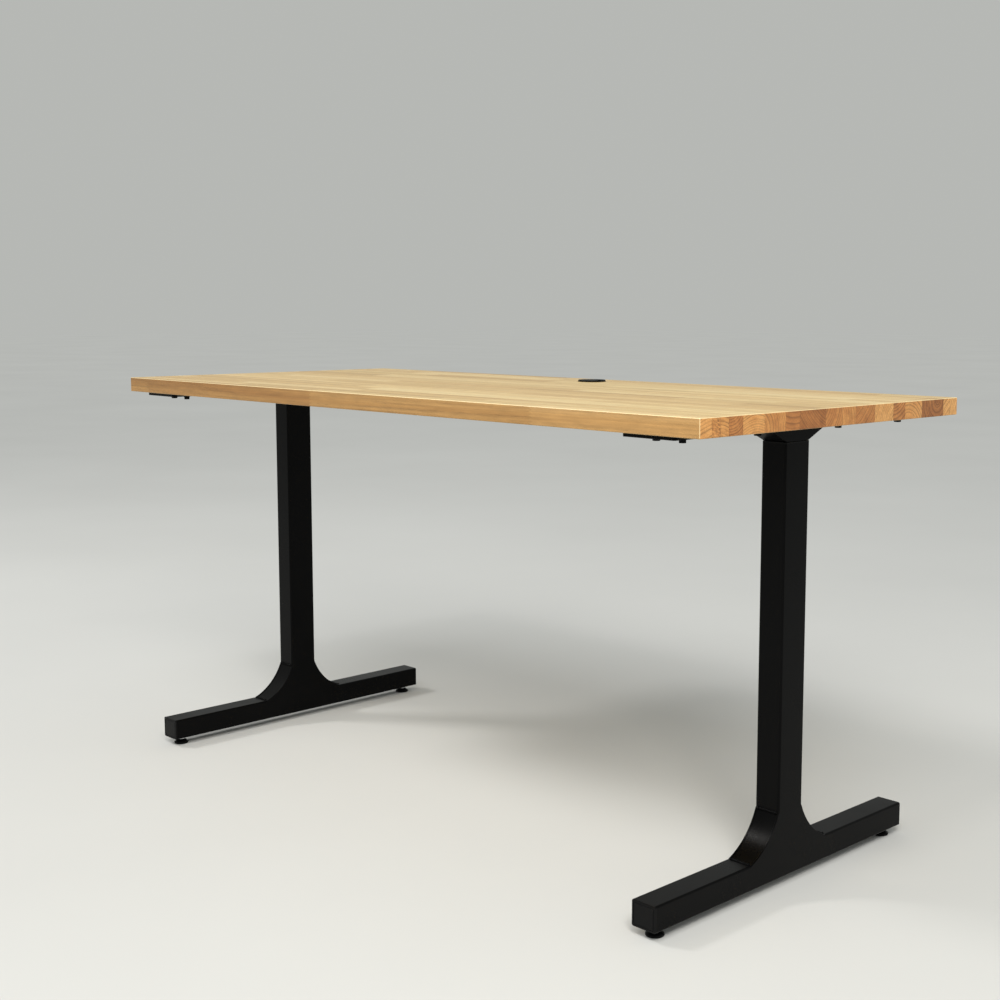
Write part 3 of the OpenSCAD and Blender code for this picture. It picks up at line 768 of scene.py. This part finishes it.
def bolts_and_washers():
    low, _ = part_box("plate_bolts")
    washer_low, washer_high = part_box("plate_washers")
    head = washer_low[2]
    bolts, washers = Shape(), Shape()
    draw = random.Random(3)
    middle = (washer_low[2] + washer_high[2]) / 2
    for x, y in bolt_places():
        place = Matrix.Translation((x, y, 0)) @ Matrix.Rotation(draw.uniform(0, math.pi / 3), 4, "Z")
        hex_head(bolts, 10 * MM, low[2], head, place)
        shank = ((0, head), (2.95 * MM, head), (2.95 * MM, BOLT_END), (0, BOLT_END))
        bolts.lathe(shank, 20, place)
        lower, upper = (washer_low[2], middle - 0.03 * MM), (middle, washer_high[2])
        for (z_low, z_high), radius in ((lower, 5.5 * MM), (upper, 6.25 * MM)):
            soft = 0.25 * MM
            profile = ((3.2 * MM, z_low), (radius - soft, z_low), (radius, z_low + soft))
            profile += ((radius, z_high - soft), (radius - soft, z_high), (3.2 * MM, z_high))
            washers.lathe(profile, 36, place)
    make("hex_bolts", bolts, "upper", "black_bolts", ["plate_bolts"])
    make("washers", washers, "upper", "black_bolts", ["plate_washers"])


# ---------- levelling feet ----------


def levelling_foot(corner):
    """A fluted pad and its threaded stem with a lock nut."""
    low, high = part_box(f"{corner}_pad")
    stem_low, stem_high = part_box(f"{corner}_stem")
    side = corner.split("_")[0]
    sleeve_low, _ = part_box(f"{side}_leveller_nuts")
    centre = Matrix.Translation(((low[0] + high[0]) / 2, (low[1] + high[1]) / 2, 0))
    radius, top = (high[0] - low[0]) / 2, high[2]
    stem = 4 * MM
    bore, socket, shoulder = stem + 0.1 * MM, stem_low[2], stem + 4 * MM
    pad = Shape()
    profile = ((0, 0), (radius - 1 * MM, 0), (radius - 0.3 * MM, 0.4 * MM), (radius, 1.1 * MM))
    profile += ((radius, 3.2 * MM), (radius - 0.8 * MM, 4 * MM))
    profile += ((shoulder + 0.8 * MM, top - 0.5 * MM), (shoulder - 0.4 * MM, top))
    profile += ((bore, top), (bore, socket), (0, socket))
    pad.lathe(profile, 144, centre, flutes=36, depth=0.35 * MM, beyond=radius - 0.5 * MM)
    make(f"{corner}_glide", pad, f"{corner}_pad", "black_plastic", [f"{corner}_pad"])

    rod = Shape()
    rod.thread(stem, 0.65 * MM, 1.25 * MM, stem_low[2], stem_high[2], centre)
    nut_top = sleeve_low[2] - 0.5 * MM
    hex_head(rod, 13 * MM, nut_top - 4 * MM, nut_top, centre)
    make(f"{corner}_screw", rod, f"{corner}_stem", "zinc_steel", [f"{corner}_stem"])


# ---------- cable grommet ----------


def grommet():
    """The sleeve in the worktop and its lift-out lid with a slot for cables."""
    low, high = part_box("grommet_sleeve")
    lid_low, lid_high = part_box("grommet_cap")
    _, board_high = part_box("tabletop")
    centre = Matrix.Translation((0, (low[1] + high[1]) / 2, 0))
    rim, soft = (high[0] - low[0]) / 2, 0.4 * MM
    outer, inner = rim - 3 * MM, rim - 5 * MM
    sleeve = Shape()
    profile = (
        (inner, low[2]),
        (outer, low[2]),
        (outer, board_high[2]),
        (rim, board_high[2]),
        (rim, high[2] - soft),
        (rim - soft, high[2]),
        (inner + soft, high[2]),
        (inner, high[2] - soft),
    )
    sleeve.lathe(profile, 96, centre)
    make("grommet_ring", sleeve, "upper", "black_plastic", ["grommet_sleeve"])

    radius, top, soft = rim - 0.5 * MM, lid_high[2], 0.5 * MM
    slot, end, corner = 5.5 * MM, rim - 17 * MM, 2 * MM

    def outline(inset):
        r, half = radius - inset, slot + inset
        first = math.asin(half / r)
        turns = [first + (2 * math.pi - 2 * first) * i / 90 for i in range(91)]
        points = [(r * math.cos(t), r * math.sin(t)) for t in turns]
        for start in (270, 180):
            for step in range(5):
                turn = math.radians(start - 22.5 * step)
                y = (corner - half) if start == 270 else (half - corner)
                x = end - inset + corner
                points.append((x + corner * math.cos(turn), y + corner * math.sin(turn)))
        return points

    lid = Shape()
    rows = ((0.2 * MM, high[2]), (0, high[2] + 0.2 * MM))
    rows += ((0, top - soft), (0.15 * MM, top - 0.15 * MM), (soft, top))
    lid.loft([[(x, y, z) for x, y in outline(inset)] for inset, z in rows], place=centre)
    skirt = inner - 0.3 * MM
    inside = skirt - 1.5 * MM
    first = math.asin(slot / skirt)
    rings = []
    for i in range(61):
        turn = first + (2 * math.pi - 2 * first) * i / 60
        section = ((skirt, lid_low[2]), (skirt, high[2]), (inside, high[2]), (inside, lid_low[2]))
        rings.append([(r * math.cos(turn), r * math.sin(turn), z) for r, z in section])
    lid.loft(rings, place=centre)
    make("grommet_lid", lid, "grommet_cap", "black_plastic", ["grommet_cap"])


# ---------- control box and handset ----------


def control_box():
    low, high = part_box("control_box_case")
    inlet_low, inlet_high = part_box("mains_inlet")
    wall, soft = 2 * MM, 0.2 * MM
    case = Shape()
    case.block(low, high, 4 * MM, 1.2 * MM)
    cavity, window, vents = Shape(), Shape(), Shape()
    inside = [edge + wall for edge in low]
    cavity.block(inside, (high[0] - wall, high[1] - wall, high[2] + wall), 2 * MM, soft)
    window_low = (inlet_low[0], inlet_high[1] - 2 * wall, inlet_low[2])
    window.block(window_low, (inlet_high[0], high[1] + wall, inlet_high[2]), soft, soft)
    count, pitch = 9, 6 * MM
    for row in (-1, 1):
        for i in range(count):
            x = row * (high[0] - 36 * MM) + (i - (count - 1) / 2) * pitch
            slit_low = (x - 1 * MM, low[1] + 22 * MM, low[2] - wall)
            slit_high = (x + 1 * MM, high[1] - 38 * MM, low[2] + 2 * wall)
            vents.block(slit_low, slit_high, 0.9 * MM, soft)
    cuts = [cavity, window, vents]
    make("control_box_cover", case, "upper", "black_plastic", ["control_box_case"], drills=cuts)

    shell, hollow = Shape(), Shape()
    shell.block(inlet_low, inlet_high, 0.8 * MM, 0.4 * MM)
    hollow.block(
        (inlet_low[0] + wall, inlet_low[1] + wall, inlet_low[2] + wall),
        (inlet_high[0] - wall, inlet_high[1] + wall, inlet_high[2] - wall),
        2 * MM,
        soft,
    )
    make("inlet_shell", shell, "upper", "black_plastic", ["mains_inlet"], drills=[hollow])
    blades = Shape()
    middle = (inlet_low[2] + inlet_high[2]) / 2
    for i in (-1, 0, 1):
        x, z = i * 7 * MM, middle + (3 * MM if i == 0 else -1 * MM)
        y = inlet_low[1] + wall
        blades.block((x - 1 * MM, y, z - 2 * MM), (x + 1 * MM, y + 9 * MM, z + 2 * MM), 0.4 * MM, 0.4 * MM)
    make("inlet_blades", blades, "upper", "zinc_steel")


def handset():
    """The two-key handset under the front edge."""
    low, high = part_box("handset_housing")
    ear, ledge, wall, soft = 10 * MM, 8 * MM, 1.6 * MM, 0.2 * MM
    body_low, body_high = (low[0] + ear, low[1], low[2]), (high[0] - ear, high[1], high[2])
    body, cavity, windows = Shape(), Shape(), Shape()
    body.block(body_low, body_high, 3 * MM, 1.4 * MM)
    inside = [edge + wall for edge in body_low]
    cavity.block(inside, (body_high[0] - wall, high[1] - wall, high[2] + wall), 1.5 * MM, soft)
    for key in ("up_button", "down_button"):
        key_low, key_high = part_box(key)
        trim = 1 * MM - 0.3 * MM  # the key's flange less the gap round the key
        windows.block(
            (key_low[0] + trim, low[1] - wall, key_low[2] + trim),
            (key_high[0] - trim, low[1] + 1.5 * wall, key_high[2] - trim),
            0.6 * MM,
            soft,
        )
    make("handset_shell", body, "upper", "black_plastic", ["handset_housing"], drills=[cavity, windows])
    ears = Shape()
    for x_low, x_high in ((low[0], body_low[0] + wall), (body_high[0] - wall, high[0])):
        ear_low, ear_high = (x_low, low[1] + ledge, high[2] - 2 * wall), (x_high, high[1] - ledge, high[2])
        ears.block(ear_low, ear_high, 1.4 * MM, 0.5 * MM)
    make("handset_ears", ears, "upper", "black_plastic")

    for key, sign in (("up_button", 1), ("down_button", -1)):
        key_low, key_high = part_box(key)
        x, z = (key_low[0] + key_high[0]) / 2, (key_low[2] + key_high[2]) / 2
        half_x, half_z = (key_high[0] - key_low[0]) / 2, (key_high[2] - key_low[2]) / 2
        flange, front, edge = 1 * MM, key_low[1], 0.5 * MM
        back, seat = key_high[1], low[1] + wall + 0.3 * MM
        sections = (
            (flange + edge, front + 0.25 * MM),
            (flange + edge, front),
            (flange + 0.15 * MM, front + 0.15 * MM),
            (flange, front + edge),
            (flange, seat),
            (0, seat),
            (0, seat + 1.5 * MM),
            (flange, seat + 1.5 * MM),
            (flange, back),
        )
        rings = []
        for inset, y in sections:
            outline = rounded(half_x - inset, half_z - inset, max(0.9 * MM - inset / 2, 0.3 * MM))
            rings.append([(x + px, y, z + pz) for px, pz in outline])
        cap = Shape()
        cap.loft(rings)
        make(key.replace("button", "key"), cap, key, "key_plastic", [key])
        arrow = Shape()
        tip, wide, proud = 1.3 * MM, 1.6 * MM, 0.05 * MM
        corners = ((-wide, -sign * tip), (wide, -sign * tip), (0, sign * tip))
        levels = (front + 0.4 * MM, front + 0.25 * MM - proud)
        arrow.loft([[(x + px, y, z + pz) for px, pz in corners] for y in levels])
        make(key.replace("button", "arrow"), arrow, key, "white_nylon")


# ---------- cables and small fasteners ----------

LEG_X = leg_centre("right")
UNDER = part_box("tabletop")[0][2]
RUN = UNDER - 3 * MM  # height of a cable's middle along the board
CABLE = 2.5 * MM  # radius of a cable


def motor_route():
    """The route of the right-hand motor cable; the left one mirrors it."""
    gland_low, gland_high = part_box("cable_glands")
    exit_z = (gland_low[2] + gland_high[2]) / 2
    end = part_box("control_box_case")[1][0]
    near_leg = ((8, exit_z), (22, exit_z), (36, exit_z + 2 * MM), (49, RUN - 8 * MM), (58, RUN - 3 * MM))
    near_leg += ((68, RUN), (78, RUN))
    route = [(LEG_X - x * MM, 0, z) for x, z in near_leg]
    bends = ((460, 0), (314, 0), (300, 0), (280, 3), (262, 11))
    bends += ((250, 24), (246, 40), (242, 62), (230, 80), (210, 94))
    route += [(x * MM, y * MM, RUN) for x, y in bends]
    drops = ((186, 102, 1), (160, 105, 5), (134, 105, 10))
    route += [(x * MM, y * MM, RUN - drop * MM) for x, y, drop in drops]
    return [*route, (end, 105 * MM, RUN - 11 * MM)]


def handset_route():
    low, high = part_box("handset_housing")
    x, end = (low[0] + high[0]) / 2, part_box("control_box_case")[0][1]
    route = [(x, high[1], RUN - 2 * MM), (x, -163 * MM, RUN - 2 * MM), (x, -150 * MM, RUN - 1 * MM)]
    bends = ((397, -132), (388, -116), (372, -104), (352, -100), (336, -100), (116, -100), (100, -100))
    bends += ((82, -97), (66, -88), (54, -72), (50, -52), (50, 0))
    route += [(px * MM, py * MM, RUN) for px, py in bends]
    route += [(50 * MM, 24 * MM, RUN - 4 * MM), (50 * MM, 44 * MM, RUN - 9 * MM)]
    return [*route, (50 * MM, end, RUN - 10 * MM)]


def cables():
    right = motor_route()
    left = [(-x, y, z) for x, y, z in right]
    for name, route in (("left_motor", left), ("right_motor", right), ("handset", handset_route())):
        cable = Shape()
        cable.tube(smooth(route), CABLE, 16)
        make(f"{name}_lead", cable, "upper", "cable_jacket", [f"{name}_cable"], sharp=60)


def glands():
    """Soft bushes where the motor cables leave the brackets."""
    low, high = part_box("cable_glands")
    middle = (low[2] + high[2]) / 2
    bushes = Shape()
    for side in (-1, 1):
        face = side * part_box("right_head_bracket")[0][0]
        place = Matrix.Translation((face, 0, middle)) @ Matrix.Rotation(-side * math.pi / 2, 4, "Y")
        profile = ((2.8, -3), (3.9, -3), (3.9, 0), (5.6, 0), (6, 0.4))
        profile += ((6, 1), (5.5, 1.5), (3.2, 1.5), (2.8, 1.1))
        bushes.lathe([(r * MM, z * MM) for r, z in profile], 36, place)
    make("gland_bushes", bushes, "upper", "cable_jacket", ["cable_glands"])


def clips():
    """Saddle clips that hold the cables against the board."""
    shape = Shape()
    arch, bore, half_y, half_x = 4.5 * MM, CABLE + 0.2 * MM, 7 * MM, 4 * MM
    outline = [(-half_y, UNDER), (-half_y, UNDER - 2 * MM), (-half_y + 0.6 * MM, UNDER - 2.6 * MM)]
    turns = [math.pi + math.pi * k / 14 for k in range(15)]
    outline += [(arch * math.cos(t), RUN + arch * math.sin(t)) for t in turns]
    outline += [(half_y - 0.6 * MM, UNDER - 2.6 * MM), (half_y, UNDER - 2 * MM), (half_y, UNDER)]
    outline += [(bore, UNDER)]
    turns = [-math.pi * k / 12 for k in range(13)]
    outline += [(bore * math.cos(t), RUN + bore * math.sin(t)) for t in turns]
    outline += [(-bore, UNDER)]
    places = [(side * x * MM, 0) for side in (-1, 1) for x in (560, 440, 320)]
    places += [(x * MM, -100 * MM) for x in (300, 150)]
    for x, y in places:
        shape.loft([[(x + reach, y + py, pz) for py, pz in outline] for reach in (-half_x, half_x)])
    make("saddle_clips", shape, "upper", "white_nylon", ["cable_clips"])


def wood_screws():
    """Pan-head screws with a cross recess."""
    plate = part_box("control_box_plate")[0][2]
    ears = UNDER - 3.2 * MM
    box_low, box_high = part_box("control_box_case")
    set_low, set_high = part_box("handset_housing")
    middle = (box_low[1] + box_high[1]) / 2
    places = [(x, middle + y, plate) for x in (-116 * MM, 116 * MM) for y in (-30 * MM, 30 * MM)]
    places += [(x, (set_low[1] + set_high[1]) / 2, ears) for x in (set_low[0] + 5 * MM, set_high[0] - 5 * MM)]
    screws, recesses = Shape(), Shape()
    for x, y, z in places:
        place = Matrix.Translation((x, y, z))
        turns = [math.pi / 2 * k / 6 for k in range(7)]
        dome = [(3.5 * math.cos(t), -0.5 - 1.5 * math.sin(t)) for t in turns]
        profile = [(0, 12), (0.4, 12), (1.7, 9), (1.7, 0), (3.5, 0), *dome[:-1], (0, -2)]
        screws.lathe([(r * MM, h * MM) for r, h in profile], 32, place)
        arm, half = 1.9 * MM, 0.35 * MM
        quarter = [(arm, -half), (arm, half), (half, half)]
        sides = ((1, 0), (0, 1), (-1, 0), (0, -1))
        cross = [(px * c - py * d, px * d + py * c) for c, d in sides for px, py in quarter]
        recesses.loft([[(x + px, y + py, z + level) for px, py in cross] for level in (-3 * MM, -0.9 * MM)])
    make("cross_head_screws", screws, "upper", "zinc_steel", ["wood_screws"], drills=[recesses])


def spindles():
    """Lifting screws with a plain journal. The thread is drawn with a lead of 3 mm and one start, while
    the joint turns at the 6 mm lead of a two-start thread."""
    for side in SIDES:
        low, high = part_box(f"{side}_spindle")
        bearing_low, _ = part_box(f"{side}_spindle_bearing")
        place = Matrix.Translation((leg_centre(side), 0, 0))
        screw = Shape()
        step = bearing_low[2] - 1 * MM
        screw.thread(6 * MM, 1.2 * MM, 3 * MM, low[2], step, place, sides=24, rows=5)
        journal = ((0, step - MM), (4 * MM, step - MM), (4 * MM, high[2] - MM))
        journal += ((3.4 * MM, high[2]), (0, high[2]))
        screw.lathe(journal, 32, place)
        make(f"{side}_lifting_screw", screw, f"{side}_spindle", "spindle_steel", [f"{side}_spindle"])


# ---------- everything in place ----------

worktop()
for side in SIDES:
    leg_frame(side)
    end_caps(side)
    collar(side)
    flared_head(side)
    mounting_plate(side)
bolts_and_washers()
for corner in CORNERS:
    levelling_foot(corner)
grommet()
control_box()
handset()
cables()
glands()
clips()
wood_screws()
spindles()


# ---------- CAD nodes that keep their own shape ----------

for part in frame["record"]["subparts"]:
    obj = frame["nodes"][part["node"]]
    obj.data.materials.clear()
    obj.data.materials.append(FINISHES[part["material_slot"]])


# ---------- camera, light and floor ----------


def camera():
    lens = bpy.data.cameras.new("camera")
    lens.lens, lens.sensor_width = 52.67, 36.0
    lens.shift_x, lens.shift_y = -0.0525, -0.0259
    lens.clip_end = 200
    view = linked("camera", lens)
    view.location = (1.9776, -1.8061, 0.8961)
    turn, tip, roll = (math.radians(a) for a in (45.417, 90 - 6.558, 0.104))
    aim = Matrix.Rotation(turn, 3, "Z") @ Matrix.Rotation(tip, 3, "X") @ Matrix.Rotation(roll, 3, "Z")
    view.rotation_euler = aim.to_euler()
    bpy.context.scene.camera = view


def area_light(name, place, target, size, power, tint):
    lamp = bpy.data.lights.new(name, "AREA")
    lamp.shape, lamp.size, lamp.size_y = "RECTANGLE", *size
    lamp.energy, lamp.color = power, tint
    obj = linked(name, lamp)
    obj.location = place
    obj.rotation_euler = (Vector(target) - Vector(place)).to_track_quat("-Z", "Y").to_euler()


def studio():
    """An even backdrop: the floor's own colour is chosen so that, lit, it matches the surroundings."""
    around = (0.47, 0.48, 0.46)
    sunlit = 0.28
    world = bpy.data.worlds.new("studio")
    world.use_nodes = True
    world.node_tree.nodes["Background"].inputs["Color"].default_value = (*around, 1)
    bpy.context.scene.world = world

    towards = Vector((0.45, -0.55, 0.7)).normalized()
    lamp = bpy.data.lights.new("soft sun", "SUN")
    lamp.energy = sunlit * math.pi / towards.z
    lamp.angle = math.radians(38)
    sun = linked("soft sun", lamp)
    sun.rotation_euler = towards.to_track_quat("Z", "Y").to_euler()
    area_light("softbox", (-3.2, -2.1, 4.0), (0.6, 0, 0.1), (0.75, 0.75), 70, (1, 0.97, 0.93))
    area_light("edge light", (0.87, -2.2, 3.4), (0.65, -0.1, 0.09), (0.42, 0.42), 20, (1, 0.98, 0.95))
    area_light("near fill", (2.3, -1.7, 2.4), (0.75, -0.3, 0.7), (0.9, 0.9), 44, (1, 0.96, 0.88))

    half, level = 40.0, -0.1 * MM
    mesh = bpy.data.meshes.new("floor")
    corners = [(x * half, y * half, level) for x, y in ((-1, -1), (1, -1), (1, 1), (-1, 1))]
    mesh.from_pydata(corners, [], [(0, 1, 2, 3)])
    ground = linked("floor", mesh)
    even = [tint / (tint + sunlit) for tint in around]
    paint = Paint("floor", even, 0.9, gloss=0.0)
    cloud = paint.noise((0.9, 0.9, 0.9), 5)
    paint.colour(paint.mix(cloud, *tones(even, 0.95, 1.05)))
    # seen from below, the floor is clear
    below = paint.nodes.new("ShaderNodeNewGeometry").outputs["Backfacing"]
    paint.put(paint.surface.inputs["Alpha"], paint.less(1, below))
    mesh.materials.append(paint.material)
    bpy.context.scene.view_settings.view_transform = "Standard"


camera()
studio()
